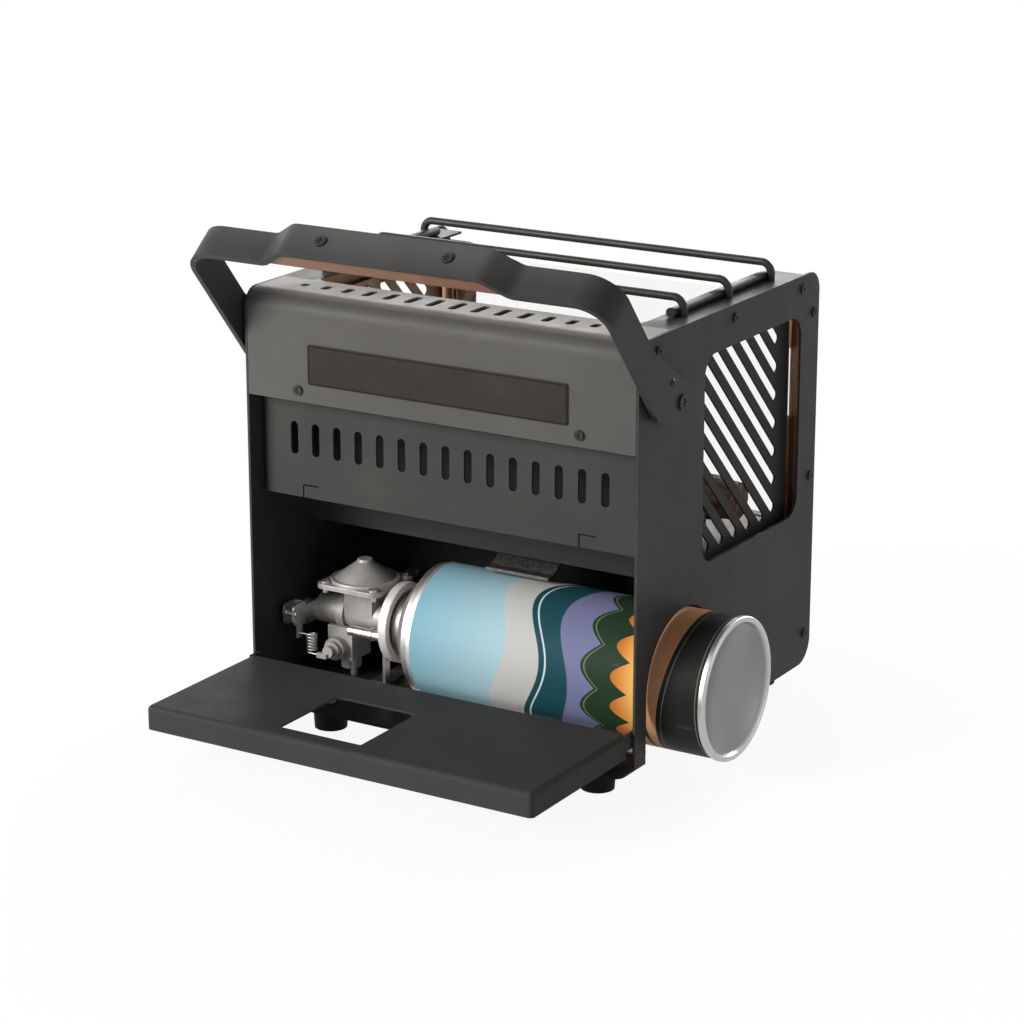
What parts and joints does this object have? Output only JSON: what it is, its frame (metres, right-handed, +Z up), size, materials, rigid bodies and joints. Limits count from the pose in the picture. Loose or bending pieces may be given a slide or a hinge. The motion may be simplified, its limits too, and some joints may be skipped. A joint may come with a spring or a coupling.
{
  "type": "camping gas heater",
  "caption": "Table-top gas heater with a glass-fronted log firebox, pot rack, bail handle and a drop-down door over a side-loaded gas cartridge.",
  "frame": {"origin": "on the floor, under the middle of the overall box with the door open", "axes": "+Z up, +Y towards the glass front, +X towards the cartridge's free end"},
  "size_m": [0.2586, 0.2624, 0.2496],
  "materials": {
    "black_coat": "satin powder coat",
    "black_screws": "satin",
    "bare_label": "matt",
    "black_wire": "satin enamel",
    "grip": "matt brown",
    "rubber": "matt",
    "plain_steel": "zinc plated",
    "bright_liner": "bright, heat tinted",
    "bronze_clip": "heat tinted",
    "clear_glass": "clear",
    "log_ceramic": "rough, bark coloured",
    "grate_iron": "as cast",
    "white_ceramic": "glazed",
    "die_cast": "shot blasted casting",
    "jet_brass": "turned",
    "black_plastic": "moulded",
    "printed_can": "gloss print",
    "can_steel": "tinplate",
    "can_valve": "moulded"
  },
  "bodies": {
    "chassis": {"bare_plate": "bare_label", "base_pan": "black_coat", "burner_stands": "plain_steel", "burner_tube": "plain_steel", "cartridge_rails": "plain_steel", "cover_screws": "black_screws", "cover_spacers": "plain_steel", "cross_log": "log_ceramic", "diaphragm_dome": "die_cast", "diaphragm_plate": "die_cast", "diaphragm_screws": "plain_steel", "divider_wall": "black_coat", "door_pins": "plain_steel", "feet": "rubber", "firebox_shell": "bright_liner", "foot_screws": "plain_steel", "front_fascia": "black_coat", "front_glass": "clear_glass", "front_log": "log_ceramic", "gas_pipe": "plain_steel", "glass_clips": "bronze_clip", "heat_transfer_plate": "plain_steel", "ignition_electrode": "white_ceramic", "injector": "jet_brass", "left_side_panel": "black_coat", "left_slat_guard": "black_coat", "lever_bracket": "plain_steel", "lever_pin": "plain_steel", "lever_spring": "plain_steel", "log_grate": "grate_iron", "lower_valve": "die_cast", "piezo_igniter": "black_plastic", "pilot_pipe": "plain_steel", "pivot_bolts": "black_screws", "pivot_nuts": "plain_steel", "pivot_washers": "black_coat", "pot_rack": "black_wire", "rear_log": "log_ceramic", "regulator_body": "die_cast", "regulator_flange": "die_cast", "regulator_stand": "plain_steel", "right_side_panel": "black_coat", "right_slat_guard": "black_coat", "side_screws": "black_screws", "slotted_rear_panel": "black_coat", "top_rear_cover": "black_coat", "valve_post": "plain_steel"},
    "door": {"door": "black_coat"},
    "handle": {"handle_strip": "black_coat", "grip_liner": "grip", "grip_screws": "black_screws"},
    "cartridge": {"cartridge_body": "printed_can", "cartridge_bottom": "can_steel", "cartridge_shoulder": "can_steel", "cartridge_valve": "can_valve"},
    "knob": {"control_knob": "black_plastic", "valve_spindle": "plain_steel"}
  },
  "joints": [
    {"name": "door_hinge", "type": "hinge", "parent": "chassis", "child": "door", "pos_m": [-0.00425, -0.04125, 0.0249], "axis": [-1, 0, 0], "range_deg": [0, 90]},
    {"name": "handle_pivot", "type": "hinge", "parent": "chassis", "child": "handle", "pos_m": [-0.00425, -0.01525, 0.1755], "axis": [-1, 0, 0], "range_deg": [0, 97]},
    {"name": "cartridge_slide", "type": "slide", "parent": "chassis", "child": "cartridge", "axis": [1, 0, 0], "range_m": [0, 0.165]},
    {"name": "knob_turn", "type": "hinge", "parent": "chassis", "child": "knob", "pos_m": [-0.11925, -0.00095, 0.041], "axis": [-1, 0, 0], "range_deg": [0, 120]}
  ]
}
